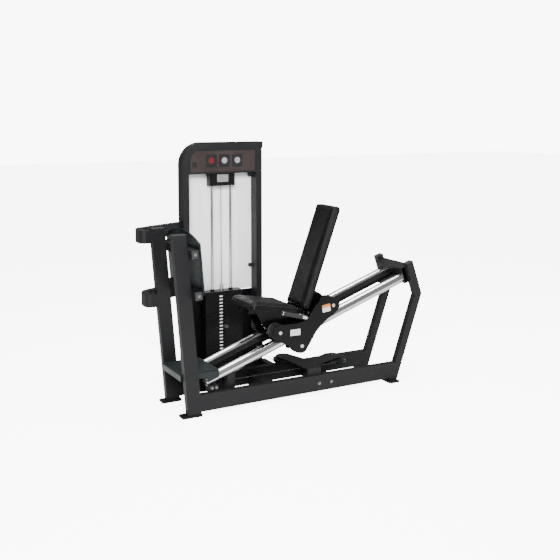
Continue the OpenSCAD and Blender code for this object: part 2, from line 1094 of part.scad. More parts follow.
module frame_bolts() {
    color("silver")
    place() {
        // The pulleys' axles
        rod_y(tower_mid + top_r, stack_y - 34, top_z, pulley_axle_d, 68);
        rod_y(post_cable_x - post_r, tower_y + 4, top_z + top_r - post_r, pulley_axle_d, tower_d - 9);
        translate([tower_x1 - tube_d - 5, stack_y - base_r, run_z + base_r])
            rotate([0, 90, 0])
                cylinder(d = pulley_axle_d, h = tube_d + 10);
        translate([near_disc_x, near_disc_y, run_z - 18])
            cylinder(d = pulley_axle_d, h = 18 + 40);
        translate([near_disc_x, near_disc_y, run_z - 22])
            cylinder(d = 24, h = 4);
        translate([far_disc_x, far_disc_y, base_top])
            cylinder(d = pulley_axle_d, h = run_z + 40 - base_top);
        rod_y(front_x, cable_y - 24, front_z, pulley_axle_d, 48);
        // Bolt heads at the footplate's tubes and the near base tube
        on_leg()
            for (z = foot_tube_z)
                for (s = [-1, 1])
                    bolt_y(leg_w / 2 + tube_in / 2, s * (plate_side - 12), z + foot_tube_h / 2, s);
        for (x = [post_cable_x + 140, post_cable_x + 245])
            bolt_y(x, -frame_w / 2, base_z + 58, -1);
        both()
            for (x = [rest_x + 18, rest_x + rest_l - 18])
                bolt_y(x, -side_y - 6, base_top + 20, -1);
    }
}

// A cable bend in the XY plane from angle a, turning by sweep
module cable_bend(r, a, sweep) {
    rotate([0, 0, a])
        rotate_extrude(angle = sweep, $fn = 96)
            translate([r, 0])
                circle(cable_r, $fn = 24);
}

// A straight run is a hair thinner than the bends and ends inside them
module cable_run(a, b) {
    v = b - a;
    l = norm(v);
    lap = 2;
    translate(a)
        rotate([0, acos(v[2] / l), atan2(v[1], v[0])])
            translate([0, 0, -lap])
                cylinder(r = cable_r - 0.1, h = l + 2 * lap, $fn = 24);
}

// From the stem over the tower, round the two discs, to the carriage's sleeve
module drive_cable() {
    up_x = tower_mid;
    run_x = post_cable_x - post_r;
    tip = sleeve_p + sleeve_l - 8;
    front = [front_x, cable_y, front_z];
    lead = [-front_r * sin(rail_angle), 0, front_r * cos(rail_angle)];
    goal = [
        rail_x + tip * cos(rail_angle) - cable_h * sin(rail_angle), cable_y,
        rail_z + tip * sin(rail_angle) + cable_h * cos(rail_angle)
    ];
    color("#2b2b2d")
    place() {
        cable_run([up_x, stack_y, stem_top - 6], [up_x, stack_y, top_z]);
        translate([up_x + top_r, stack_y, top_z])
            rotate([90, 0, 0])
                cable_bend(top_r, 90, 90);
        cable_run([up_x + top_r, stack_y, top_z + top_r], [run_x, stack_y, top_z + top_r]);
        translate([run_x, stack_y, top_z + top_r - post_r])
            rotate([90, 0, 0])
                cable_bend(post_r, 0, 90);
        cable_run([post_cable_x, stack_y, top_z + top_r - post_r], [post_cable_x, stack_y, run_z + base_r]);
        translate([post_cable_x, stack_y - base_r, run_z + base_r])
            rotate([90, 0, 90])
                cable_bend(base_r, -90, 90);
        cable_run([post_cable_x, stack_y - base_r, run_z], [post_cable_x, far_disc_y, run_z]);
        translate([far_disc_x, far_disc_y, run_z])
            cable_bend(far_r, 180, 90);
        cable_run([far_disc_x, far_disc_y - far_r, run_z], [near_disc_x, near_disc_y + near_r, run_z]);
        translate([near_disc_x, near_disc_y, run_z])
            cable_bend(near_r, -90, 180);
        cable_run([near_disc_x, cable_y, run_z], [front_x, cable_y, run_z]);
        translate(front)
            rotate([90, 0, 0])
                cable_bend(front_r, 90 + rail_angle, 180 - rail_angle);
        cable_run(front + lead, goal);
    }
}

// The side plates' outline round three rollers, in p and h
module side_outline() {
    for (c = [[roll_front_p, roll_h, 58], [roll_low_p, -roll_h, 54], [roll_rear_p, roll_h, 58]])
        translate([c[0], c[1]])
            circle(c[2]);
    translate([1056, 150])
        circle(42);
    translate([712, -78])
        circle(26);
    polygon([
        [roll_front_p - 40, roll_h + 42], [roll_front_p + 30, roll_h + 50],
        [770, 96], [830, 79], [893, 84], [960, 140], [1018, 168],
        [1097, 158], [1165, 112], [1166, 72], [1146, 40], [1096, 20],
        [1038, 9], [979, -9], [914, -40], [854, -88], [812, -roll_h - 32],
        [roll_low_p - 40, -roll_h - 36], [690, -64], [roll_front_p - 44, 48]
    ]);
}

module axle_bores(d) {
    for (c = [[roll_front_p, roll_h], [roll_low_p, -roll_h], [roll_rear_p, roll_h]])
        translate([c[0], c[1]])
            circle(d / 2);
}

module outer_side_plates() {
    color("#0f0f10")
    place()
    on_rail()
        both()
            upright(-side_out - side_t, side_t)
                difference() {
                    side_outline();
                    axle_bores(axle_d);
                }
}

// Where the seat's underside lies, in the rails' frame
function to_p(x, z) = (x - rail_x) * cos(rail_angle) + (z - rail_z) * sin(rail_angle);
function to_h(x, z) = (z - rail_z) * cos(rail_angle) - (x - rail_x) * sin(rail_angle);
function seat_px(s, d) = seat_x + s * cos(seat_tilt) - d * sin(seat_tilt);
function seat_pz(s, d) = seat_z - s * sin(seat_tilt) - d * cos(seat_tilt);
function seat_pt(s, d) = [to_p(seat_px(s, d), seat_pz(s, d)), to_h(seat_px(s, d), seat_pz(s, d))];
seat_under = pad_t + 1;
function back_pt(x, z) = [
    to_p(pivot_x + x * cos(back_lean) + z * sin(back_lean), pivot_z - x * sin(back_lean) + z * cos(back_lean)),
    to_h(pivot_x + x * cos(back_lean) + z * sin(back_lean), pivot_z - x * sin(back_lean) + z * cos(back_lean))
];

// What the backrest sweeps as it swings forward, in the rails' frame
module back_sweep() {
    polygon([
        back_pt(-14, 24), back_pt(-14, 300), back_pt(-200, 300),
        [to_p(pivot_x - 95, pivot_z + 100), to_h(pivot_x - 95, pivot_z + 100)],
        [to_p(pivot_x - 95, pivot_z + 10), to_h(pivot_x - 95, pivot_z + 10)],
        [to_p(pivot_x - 30, pivot_z + 10), to_h(pivot_x - 30, pivot_z + 10)]
    ]);
}

module inner_side_plates() {
    lock_x = pivot_x + lock_r * cos(lock_a);
    lock_z = pivot_z + lock_r * sin(lock_a);
    bar_ph = [to_p(bar_x, bar_z), to_h(bar_x, bar_z)];
    color("#141415")
    place()
    on_rail()
        difference() {
            both()
                upright(-side_in, side_t)
                    difference() {
                        union() {
                            difference() {
                                side_outline();
                                back_sweep();
                            }
                            polygon([
                                [roll_front_p - 44, 60],
                                seat_pt(70, seat_under), seat_pt(seat_l + 4, seat_under + 2),
                                [bar_ph[0] - 7, bar_ph[1] + 21], [bar_ph[0] + 38, bar_ph[1] - 6],
                                [900, 60]
                            ]);
                        }
                        axle_bores(axle_d);
                        translate([pivot_p, pivot_h])
                            circle(pivot_d / 2);
                        translate(bar_ph)
                            circle(bar_d / 2 + fit_gap);
                    }
            // The lock pin's bore is in the far plate only
            translate([to_p(lock_x, lock_z), side_in + 1, to_h(lock_x, lock_z)])
                rotate([90, 0, 0])
                    cylinder(r = 5 + fit_gap, h = side_t + 2);
        }
}

module carriage_tubes() {
    lock_x = pivot_x + lock_r * cos(lock_a);
    lock_z = pivot_z + lock_r * sin(lock_a);
    inside = side_in - side_t;
    color("#29292b")
    place()
    on_rail() {
        for (c = [[705, 112], [800, 64]])
            translate([c[0], -inside, c[1]])
                rotate([-90, 0, 0])
                    difference() {
                        cylinder(d = 38, h = 2 * inside);
                        translate([0, 0, -1])
                            cylinder(d = 32, h = 2 * inside + 2);
                    }
        // The cable's sleeve hangs on the near inner plate
        difference() {
            union() {
                translate([sleeve_p, cable_y, cable_h])
                    rotate([0, 90, 0])
                        cylinder(d = sleeve_d, h = sleeve_l);
                for (p = [roll_front_p + 74, 840])
                    translate([p, -inside, cable_h - 6])
                        cube([40, inside + cable_y + 4, 12]);
            }
            translate([sleeve_p - 1, cable_y, cable_h])
                rotate([0, 90, 0])
                    cylinder(d = cable_d + 3, h = sleeve_l + 2);
        }
        // The lock pin's guide on the far inner plate
        translate([to_p(lock_x, lock_z), side_in + 20, to_h(lock_x, lock_z)])
            rotate([90, 0, 0])
                difference() {
                    cylinder(d = 22, h = 20);
                    translate([0, 0, -1])
                        cylinder(r = 5 + fit_gap, h = 22);
                }
    }
}

module axle_set(p, h) {
    lug = 5;
    translate([p, 0, h])
        both() {
            translate([0, -side_out - side_t - lug, 0])
                rotate([-90, 0, 0])
                    cylinder(d = axle_d, h = side_out + side_t + lug - side_in + side_t + lug);
            translate([0, -side_out - side_t, 0])
                rotate([90, 0, 0])
                    cylinder(d = 26, h = 7);
            // Spacers each side of the roller
            translate([0, -rail_gap / 2 + roller_w / 2 + run_gap, 0])
                rotate([-90, 0, 0])
                    cylinder(d = 24, h = rail_gap / 2 - roller_w / 2 - side_in - run_gap);
            translate([0, -side_out, 0])
                rotate([-90, 0, 0])
                    cylinder(d = 24, h = side_out - rail_gap / 2 - roller_w / 2 - run_gap);
        }
}

module carriage_axles() {
    color("silver")
    place()
    on_rail() {
        axle_set(roll_front_p, roll_h);
        axle_set(roll_low_p, -roll_h);
        axle_set(roll_rear_p, roll_h);
        translate([pivot_p, -side_in - 5, pivot_h])
            rotate([-90, 0, 0])
                cylinder(d = pivot_d, h = 2 * side_in + 10);
    }
}

// A roller whose groove follows the rail
module roller() {
    difference() {
        rotate_extrude($fn = 96)
            difference() {
                translate([axle_d / 2 + fit_gap, -roller_w / 2])
                    square([roll_rim - axle_d / 2 - fit_gap, roller_w]);
                translate([roll_h, 0])
                    circle(rail_r + run_gap, $fn = 128);
            }
    }
}

module roller_pair(p, h) {
    on_rail()
        for (s = [-1, 1])
            translate([p, s * rail_gap / 2, h])
                rotate([90, 0, 0])
                    roller();
}

module front_rollers() {
    color("#2a2a2c")
    place()
        roller_pair(roll_front_p, roll_h);
}

module lower_rollers() {
    color("#2a2a2c")
    place()
        roller_pair(roll_low_p, -roll_h);
}

module rear_rollers() {
    color("#2a2a2c")
    place()
        roller_pair(roll_rear_p, roll_h);
}

module on_seat() {
    translate([seat_x, 0, seat_z])
        rotate([0, seat_tilt, 0])
            children();
}

module seat_frame() {
    inside = side_in - side_t;
    color("#232325")
    place()
    on_seat() {
        both()
            difference() {
                translate([40, -inside, -seat_under - seat_tube_h])
                    tube_x(seat_l - 60, seat_tube, seat_tube_h, tube_wall);
                translate([-100, -inside - 10, -seat_under - seat_tube_h - 1])
                    cube([100, 50, 60]);
            }
        // The board that carries the pad
        translate([20, -seat_w / 2 + 25, -seat_under])
            cube([seat_l - 40, seat_w - 50, 1]);
        translate([80, -inside + seat_tube, -seat_under - seat_tube_h + 5])
            tube_y(30, 2 * (inside - seat_tube), 30, tube_wall);
    }
}

// Rounded front corners, straight rear edge
module seat_pad() {
    r = 46;
    color("#1b1b1d")
    place()
    on_seat()
        translate([0, -seat_w / 2, -pad_t])
            linear_extrude(pad_t) {
                translate([r, 0])
                    square([seat_l - r, seat_w]);
                translate([0, r])
                    square([r, seat_w - 2 * r]);
                translate([r, r])
                    circle(r);
                translate([r, seat_w - r])
                    circle(r);
            }
}

// The U of the handle bar lies in one tilted plane
module on_bar() {
    translate([bar_x, 0, bar_z])
        rotate([0, bar_tilt, 0])
            children();
}

module handle_bar() {
    color("#bfc1c4")
    place()
    on_bar() {
        translate([0, -bar_y + bar_bend, 0])
            rotate([-90, 0, 0])
                cylinder(d = bar_d, h = 2 * (bar_y - bar_bend));
        both() {
            translate([-bar_bend, -bar_y + bar_bend, 0])
                rotate([0, 0, -90])
                    rotate_extrude(angle = 90)
                        translate([bar_bend, 0])
                            circle(d = bar_d);
            translate([-bar_l, -bar_y, 0])
                rotate([0, 90, 0])
                    cylinder(d = bar_d, h = bar_l - bar_bend);
            // The end ring
            translate([-bar_l - 7, -bar_y, 0])
                rotate([0, 90, 0])
                    cylinder(d = grip_d - 1, h = 7);
        }
    }
}

module hand_grips() {
    l = bar_l - bar_bend - 22;
    color("#101011")
    place()
    on_bar()
        both()
            translate([-bar_l, -bar_y, 0])
                rotate([0, 90, 0])
                    difference() {
                        cylinder(d = grip_d, h = l);
                        translate([0, 0, -1])
                            cylinder(d = bar_d + 2 * fit_gap, h = l + 2);
                    }
}

module on_back() {
    translate([pivot_x, 0, pivot_z])
        rotate([0, back_lean, 0])
            children();
}

module back_frame() {
    half = back_tube / 2;
    plate_y = back_tube_w / 2;
    color("#232325")
    place()
        difference() {
            union() {
                on_back() {
                    translate([-half, -back_tube_w / 2, -half])
                        difference() {
                            cube([back_tube, back_tube_w, back_l - 150]);
                            translate([tube_wall, tube_wall, 2 * half])
                                cube([back_tube - 2 * tube_wall, back_tube_w - 2 * tube_wall, back_l]);
                        }
                    rod_y(0, -back_tube_w / 2 - 16, 0, 34, back_tube_w + 32);
                    // Ears that carry the pad's board
                    for (z = [back_low + 60, back_l - 230])
                        translate([back_front + pad_t + board_t, -90, z])
                            cube([-back_front - pad_t - board_t - half, 180, 50]);
                    translate([back_front + pad_t, -back_w / 2 + 20, back_low + 20])
                        cube([board_t, back_w - 40, back_l - 40]);
                }
                // The quadrant that the lock pin enters
                translate([pivot_x, plate_y + 8, pivot_z])
                    rotate([90, 0, 0])
                        linear_extrude(10)
                            intersection() {
                                circle(lock_r + 12);
                                polygon([[0, -8], [160, -8], [160, 200], [0, 200]]);
                            }
            }
            translate([pivot_x, 0, pivot_z])
                rotate([90, 0, 0])
                    translate([0, 0, -plate_y - 60])
                        cylinder(r = pivot_d / 2 + fit_gap, h = 2 * plate_y + 120);
            for (i = [0 : 3])
                translate([pivot_x, plate_y + 9, pivot_z])
                    rotate([0, -(lock_a - i * lock_step * 180 / PI), 0])
                        translate([lock_r, 0, 0])
                            rotate([90, 0, 0])
                                cylinder(d = lock_tip_d + 0.4, h = 10);
        }
}

module back_pad() {
    color("#1b1b1d")
    place()
    on_back()
        translate([back_front, 0, back_low])
            rotate([90, 0, 90])
                linear_extrude(pad_t - run_gap)
                    translate([-back_w / 2, 0])
                        rounded(back_w, back_l, 24);
}

module lock_pin() {
    // Drawn pulled out of the quadrant, so that the backrest is free
    x = pivot_x + lock_r * cos(lock_a);
    z = pivot_z + lock_r * sin(lock_a);
    tip_y = back_tube_w / 2 + 1 + lock_out;
    color("#151515")
    place() {
        rod_y(x, tip_y, z, lock_tip_d, 12);
        rod_y(x, tip_y + 12, z, 10, side_in + 22 + lock_out - tip_y - 12);
        rod_y(x, side_in + 21 + lock_out, z, 30, 16);
    }
}

foot_plates();
near_base_tube();
far_base_tube();
near_front_leg();
far_front_leg();
near_rear_post();
far_rear_post();
rear_cross_tube();
floor_cross_tubes();
end_caps();
footplate_tubes();
footplate();
footplate_mat();
step_tray();
step_mat();
guide_rails();
rail_brackets();
cable_cover();
tower_arms();
tower_hoop();
tower_right_post();
tower_base();
rear_shroud();
lower_shroud();
sign_panel();
sign_tiles();
pulley_housing();
guide_rods();
stack_bumpers();
rest_stack();
rest_labels();
pulley_bridge();
front_pulley_bracket();
frame_bolts();
drive_cable();
lift_stack();
lift_labels();
selector_stem();
selector_pin();
outer_side_plates();
inner_side_plates();
carriage_tubes();
carriage_axles();
seat_frame();
seat_pad();
handle_bar();
hand_grips();
back_frame();
back_pad();
lock_pin();
front_rollers();
lower_rollers();
rear_rollers();
top_pulley();
post_pulley();
base_pulley();
near_disc();
far_disc();
front_pulley();
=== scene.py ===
import bpy
import bmesh
import json
import math
from mathutils import Matrix, Vector


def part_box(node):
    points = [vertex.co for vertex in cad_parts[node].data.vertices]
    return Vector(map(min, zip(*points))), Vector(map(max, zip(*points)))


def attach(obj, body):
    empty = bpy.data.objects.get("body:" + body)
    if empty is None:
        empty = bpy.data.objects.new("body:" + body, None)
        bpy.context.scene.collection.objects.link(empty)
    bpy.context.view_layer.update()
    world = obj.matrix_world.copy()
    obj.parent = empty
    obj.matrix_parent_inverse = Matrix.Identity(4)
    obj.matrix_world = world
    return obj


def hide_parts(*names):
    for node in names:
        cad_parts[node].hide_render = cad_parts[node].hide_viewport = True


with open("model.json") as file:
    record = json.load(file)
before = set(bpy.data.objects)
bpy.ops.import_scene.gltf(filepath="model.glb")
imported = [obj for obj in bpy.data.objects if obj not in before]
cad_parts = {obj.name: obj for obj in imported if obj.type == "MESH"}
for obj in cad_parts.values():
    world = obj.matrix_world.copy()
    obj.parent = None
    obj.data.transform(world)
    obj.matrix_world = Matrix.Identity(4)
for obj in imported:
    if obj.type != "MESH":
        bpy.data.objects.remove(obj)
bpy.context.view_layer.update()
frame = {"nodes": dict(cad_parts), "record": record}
nodes = frame["nodes"]
print("frame loaded")

# the camera stands off the footplate's near corner and looks along the rails
camera = {
    "place": (-3.1445, -5.738, 2.090),
    "azimuth": 28.8,   # degrees from +Y towards +X
    "pitch": 6.0,      # degrees below level
    "lens": 56.0,
    "shiftY": -0.1357,
}
camData = bpy.data.cameras.new("studio_camera")
camData.lens = camera["lens"]
camData.sensor_width = 36
camData.shift_y = camera["shiftY"]
cam = bpy.data.objects.new("studio_camera", camData)
bpy.context.collection.objects.link(cam)
cam.location = camera["place"]
cam.rotation_euler = (math.radians(90 - camera["pitch"]), 0, -math.radians(camera["azimuth"]))
bpy.context.scene.camera = cam

# the machine's own angles and places, in metres
machine = {
    "shift": Vector((-0.946481, -0.135, 0)),
    "railAngle": math.radians(19.1),
    "legLean": math.radians(4.6),
    "barTilt": math.radians(16),
}


def newObject(name, mesh):
    obj = bpy.data.objects.new(name, mesh)
    bpy.context.collection.objects.link(obj)
    return obj


def objectFrom(bm, name, smooth=True):
    mesh = bpy.data.meshes.new(name)
    bm.to_mesh(mesh)
    bm.free()
    for face in mesh.polygons:
        face.use_smooth = smooth
    return newObject(name, mesh)


# shader maths as expressions
class Value:
    def __init__(self, owner, link):
        self.owner = owner
        self.link = link

    def maths(self, op, *parts):
        return self.owner.node("ShaderNodeMath", {"operation": op}, list(parts))

    def __add__(self, other):
        return self.maths("ADD", self, other)

    __radd__ = __add__

    def __mul__(self, other):
        return self.maths("MULTIPLY", self, other)

    __rmul__ = __mul__

    def __sub__(self, other):
        return self.maths("SUBTRACT", self, other)

    def __rsub__(self, other):
        return self.maths("SUBTRACT", other, self)

    def __pow__(self, other):
        return self.maths("POWER", self, other)

    def size(self):
        return self.maths("ABSOLUTE", self)

    def wave(self):
        return self.maths("SINE", self)

    def most(self, other):
        return self.maths("MAXIMUM", self, other)

    def least(self, other):
        return self.maths("MINIMUM", self, other)

    def ramp(self, low, high):  # 0 below low, 1 above high
        return self.owner.node("ShaderNodeMapRange", {"interpolation_type": "SMOOTHSTEP"},
                               {"Value": self, "From Min": low, "From Max": high})


class Finish:
    def __init__(self, name, **sockets):
        self.material = bpy.data.materials.new(name)
        self.material.use_nodes = True
        self.tree = self.material.node_tree
        self.tree.nodes.clear()
        self.shader = self.tree.nodes.new("ShaderNodeBsdfPrincipled")
        output = self.tree.nodes.new("ShaderNodeOutputMaterial")
        self.tree.links.new(self.shader.outputs[0], output.inputs["Surface"])
        self.where = self.node("ShaderNodeTexCoord", out="Object")
        self.put(**sockets)

    def node(self, kind, settings=None, inputs=(), out=0):
        made = self.tree.nodes.new(kind)
        for key, value in (settings or {}).items():
            if key == "stops":
                while len(made.color_ramp.elements) < len(value):
                    made.color_ramp.elements.new(0.5)
                for stop, (at, colour) in zip(made.color_ramp.elements, value):
                    stop.position = at
                    stop.color = (*colour, 1)
            else:
                setattr(made, key, value)
        pairs = inputs.items() if isinstance(inputs, dict) else enumerate(inputs)
        for key, value in pairs:
            if isinstance(value, Value):
                self.tree.links.new(value.link, made.inputs[key])
            else:
                made.inputs[key].default_value = value
        return Value(self, made.outputs[out])

    def put(self, **sockets):
        names = {"colour": "Base Color", "roughness": "Roughness", "metallic": "Metallic",
                 "coat": "Coat Weight", "coatRoughness": "Coat Roughness", "normal": "Normal",
                 "sheen": "Sheen Weight", "sheenRoughness": "Sheen Roughness",
                 "specular": "Specular IOR Level",
                 "glow": "Emission Color", "glowPower": "Emission Strength"}
        for key, value in sockets.items():
            socket = self.shader.inputs[names[key]]
            if isinstance(value, Value):
                self.tree.links.new(value.link, socket)
            else:
                socket.default_value = (*value, 1) if key in ("colour", "glow") else value

    def turned(self, centre=(0, 0, 0), tilt=0.0):  # Object coordinates about a tilted piece
        moved = self.node("ShaderNodeMapping", {"vector_type": "TEXTURE"},
                          {"Vector": self.where, "Location": centre, "Rotation": (0, tilt, 0)})
        return [self.node("ShaderNodeSeparateXYZ", None, [moved], axis) for axis in range(3)]

    def stretched(self, scale, tilt=0.0):
        return self.node("ShaderNodeMapping", {"vector_type": "TEXTURE"},
                         {"Vector": self.where, "Rotation": (0, tilt, 0), "Scale": scale})

    def noise(self, scale, detail=3.0, vector=None, roughness=0.5):
        return self.node("ShaderNodeTexNoise", None,
                         {"Vector": vector or self.where, "Scale": scale, "Detail": detail,
                          "Roughness": roughness})

    def cells(self, scale, vector=None):
        return self.node("ShaderNodeTexVoronoi", {"feature": "SMOOTH_F1"},
                         {"Vector": vector or self.where, "Scale": scale})

    def mix(self, share, first, second):
        first = first if isinstance(first, Value) else (*first, 1)
        second = second if isinstance(second, Value) else (*second, 1)
        return self.node("ShaderNodeMix", {"data_type": "RGBA"}, {0: share, 6: first, 7: second}, 2)

    def softEdge(self, radius):
        return self.node("ShaderNodeBevel", {"samples": 4}, {"Radius": radius})

    def bump(self, height, distance, strength=1.0, normal=None):
        inputs = {"Height": height, "Distance": distance, "Strength": strength}
        if normal:
            inputs["Normal"] = normal
        return self.node("ShaderNodeBump", None, inputs)


# finishes
framePaint = {"colour": (0.0055, 0.0055, 0.0062), "worn": (0.017, 0.017, 0.018), "roughness": 0.5,
              "grain": 700, "edge": 0.0022}


def makeFramePaint():
    f = Finish("frame_powder_coat", specular=0.2)
    grain = f.noise(framePaint["grain"], 2)
    dust = f.noise(3.5, 5).ramp(0.35, 0.8)
    scuff = f.noise(46, 6, roughness=0.65).ramp(0.62, 0.72) * f.noise(5, 2).ramp(0.5, 0.7)
    f.put(colour=f.mix(scuff * 0.5 + dust * 0.18, framePaint["colour"], framePaint["worn"]),
          roughness=dust * 0.12 + grain * 0.06 + framePaint["roughness"] - 0.06,
          normal=f.bump(grain, 0.0004, 0.35, f.softEdge(framePaint["edge"])))
    return f.material


def makePanelPaint():
    f = Finish("panel_satin_black", specular=0.15)
    grain = f.noise(1100, 2)
    smear = f.noise(7, 4).ramp(0.3, 0.75)
    f.put(colour=f.mix(smear * 0.4, (0.0022, 0.0022, 0.0025), (0.005, 0.005, 0.0055)),
          roughness=smear * 0.14 + 0.34,
          normal=f.bump(grain, 0.0003, 0.25, f.softEdge(0.0012)))
    return f.material


def makePlateGloss():
    f = Finish("side_plate_gloss", specular=0.12, coat=0.04, coatRoughness=0.1)
    smear = f.noise(9, 4).ramp(0.35, 0.7)
    scratch = f.noise(60, 4, f.stretched((1, 1, 0.06), -machine["railAngle"])).ramp(0.66, 0.7)
    f.put(colour=f.mix(scratch * 0.4, (0.0012, 0.0012, 0.0014), (0.015, 0.015, 0.015)),
          roughness=smear * 0.1 + scratch * 0.2 + 0.24,
          normal=f.bump(f.noise(30, 2), 0.0006, 0.12, f.softEdge(0.0018)))
    return f.material


rails = {"colour": (0.60, 0.605, 0.61), "roughness": 0.2}


def makeRailSteel():
    f = Finish("rail_satin_chrome", metallic=1.0)
    x, y, z = f.turned((0, 0, 0), -machine["railAngle"])
    drawn = f.noise(260, 3, f.stretched((40, 1, 1), -machine["railAngle"]))
    # painted reflection: patchy dark stripes along each tube stand in for the dark frame mirrored in the chrome;
    # they also raise the roughness there
    reflection_band = (z * 31 + y * 17).wave().ramp(0.75, 1.0) * f.noise(9, 3).ramp(0.4, 0.7)
    f.put(colour=f.mix(reflection_band * 0.35 + drawn * 0.2, rails["colour"], (0.4, 0.405, 0.41)),
          roughness=drawn * 0.12 + reflection_band * 0.1 + rails["roughness"] - 0.06,
          normal=f.bump(drawn, 0.0001, 0.2))
    return f.material


def makeGuideRod():
    f = Finish("guide_rod_chrome", metallic=1.0)
    oil = f.noise(14, 4, f.stretched((1, 1, 6))).ramp(0.4, 0.7)
    f.put(colour=f.mix(oil * 0.5, (0.72, 0.72, 0.73), (0.5, 0.5, 0.49)), roughness=oil * 0.12 + 0.12)
    return f.material


def makeZinc():
    f = Finish("bright_zinc", metallic=1.0)
    spangle = f.cells(220)
    haze = f.noise(40, 4).ramp(0.4, 0.7)
    f.put(colour=f.mix(haze * 0.5, (0.62, 0.62, 0.63), (0.4, 0.4, 0.41)),
          roughness=spangle * 0.2 + haze * 0.12 + 0.2,
          normal=f.bump(spangle, 0.0002, 0.2, f.softEdge(0.0008)))
    return f.material


def makeBoltSteel():
    f = Finish("dull_bolt_steel", metallic=1.0)
    haze = f.noise(160, 4).ramp(0.35, 0.7)
    f.put(colour=f.mix(haze, (0.16, 0.16, 0.165), (0.28, 0.28, 0.285)), roughness=haze * 0.12 + 0.34,
          normal=f.bump(f.noise(420, 3), 0.0002, 0.2, f.softEdge(0.0006)))
    return f.material


deck = {"paint": (0.003, 0.006, 0.0065), "rubber": (0.0035, 0.0065, 0.0068)}


def makeDeckPaint():
    f = Finish("deck_dark_green_paint", specular=0.25)
    smear = f.noise(8, 4).ramp(0.3, 0.75)
    f.put(colour=f.mix(smear * 0.5, deck["paint"], (0.010, 0.015, 0.016)),
          roughness=smear * 0.16 + 0.26,
          normal=f.bump(f.noise(600, 2), 0.0003, 0.25, f.softEdge(0.0015)))
    return f.material


def makeDeckRubber(name, tilt, upright):
    f = Finish(name, specular=0.2)
    x, y, z = f.turned((0, 0, 0), tilt)
    along = z if upright else x
    rows = (along * 420).wave() * (y * 420).wave()  # small raised studs, 15 mm apart
    studs = rows.size().ramp(0.35, 0.7)
    dust = f.noise(11, 5).ramp(0.4, 0.75)
    f.put(colour=f.mix(studs * 0.25 + dust * 0.35, deck["rubber"], (0.014, 0.020, 0.021)),
          roughness=0.62 - studs * 0.14 + dust * 0.1,
          normal=f.bump(studs + f.noise(500, 2) * 0.15, 0.0012, 0.7))
    return f.material


def makeFrosted():
    f = Finish("frosted_panel", specular=0.4)
    cloud = f.noise(2.2, 3).ramp(0.2, 0.8)
    f.put(colour=f.mix(cloud, (0.88, 0.885, 0.92), (0.94, 0.945, 0.97)),
          roughness=cloud * 0.12 + 0.42,
          normal=f.bump(f.noise(900, 2), 0.0002, 0.2))
    return f.material


def makeSign():
    f = Finish("sign_brown_grey", specular=0.25)
    low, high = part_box("sign_panel")
    x, y, z = f.turned()
    middle = (low + high) / 2
    half = (high - low) / 2
    edge = ((x - middle.x).size() - (half.x - 0.013)).most((z - middle.z).size() - (half.z - 0.015))
    border = edge.ramp(-0.001, 0.001)
    cloud = f.noise(6, 3).ramp(0.3, 0.8)
    field = f.mix(cloud * 0.5, (0.024, 0.0175, 0.0165), (0.036, 0.0275, 0.0255))
    f.put(colour=f.mix(border, field, (0.008, 0.008, 0.009)), roughness=cloud * 0.1 + 0.3,
          normal=f.bump(border, 0.0006, 0.4))
    return f.material


def makeTiles():
    f = Finish("sign_tile_black", specular=0.5)
    low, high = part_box("sign_tiles")
    x, y, z = f.turned()
    pitch = 0.110
    right = high.x - 0.044
    height = high.z - 0.046
    marks = []
    for i in range(3):  # plain discs, one to a tile
        far = (x - (right - i * pitch)) ** 2 + (z - height) ** 2
        marks.append(1 - far.ramp(0.022 ** 2, 0.025 ** 2))
    base = f.mix(f.noise(9, 3), (0.006, 0.006, 0.007), (0.014, 0.014, 0.015))
    pale = f.mix((marks[0] + marks[1]).least(1.0), base, (0.22, 0.22, 0.235))
    f.put(colour=f.mix(marks[2], pale, (0.10, 0.008, 0.008)), roughness=f.noise(30, 3) * 0.1 + 0.2)
    return f.material


def makeBlackPlastic(name="black_moulded_plastic", colour=(0.010, 0.010, 0.011), roughness=0.4):
    f = Finish(name, specular=0.5)
    pebble = f.cells(900)
    f.put(colour=f.mix(f.noise(20, 3), colour, tuple(c * 1.8 for c in colour)),
          roughness=f.noise(15, 3) * 0.12 + roughness,
          normal=f.bump(pebble, 0.0003, 0.3, f.softEdge(0.001)))
    return f.material


def makeStackIron():
    f = Finish("weight_plate_black", specular=0.2)
    cast = f.noise(240, 5, roughness=0.6)
    chip = f.noise(75, 5).ramp(0.66, 0.7) * f.noise(6, 2).ramp(0.5, 0.65)
    f.put(colour=f.mix(chip, (0.004, 0.004, 0.0045), (0.05, 0.05, 0.05)),
          roughness=cast * 0.2 + 0.32,
          normal=f.bump(cast, 0.0008, 0.35, f.softEdge(0.0014)))
    return f.material


def makeLabel():
    f = Finish("plain_label", specular=0.4)
    f.put(colour=f.mix(f.noise(60, 3), (0.72, 0.72, 0.70), (0.84, 0.84, 0.83)),
          roughness=f.noise(80, 3) * 0.1 + 0.4)
    return f.material


def makeGrip():
    f = Finish("grip_rubber", specular=0.35)
    x, y, z = f.turned((0, 0, 0), machine["barTilt"])
    rings = (x * 1250).wave().ramp(-0.2, 0.7)
    f.put(colour=f.mix(rings * 0.5, (0.006, 0.006, 0.006), (0.018, 0.018, 0.018)),
          roughness=f.noise(60, 3) * 0.15 + 0.55,
          normal=f.bump(rings, 0.0009, 0.6))
    return f.material


def makeCable():
    f = Finish("coated_cable", specular=0.5, coat=0.3)
    x, y, z = f.turned()
    lay = ((x + y + z) * 1500).wave()
    f.put(colour=f.mix(lay.ramp(-0.5, 0.8), (0.016, 0.016, 0.017), (0.04, 0.04, 0.042)),
          roughness=lay * 0.05 + 0.32, normal=f.bump(lay, 0.0003, 0.3))
    return f.material


def makePullKnob():
    f = Finish("pull_knob", specular=0.5, coat=0.3)
    f.put(colour=f.mix(f.noise(40, 3), (0.012, 0.012, 0.013), (0.025, 0.024, 0.024)),
          roughness=f.noise(60, 3) * 0.12 + 0.28, normal=f.softEdge(0.002))
    return f.material


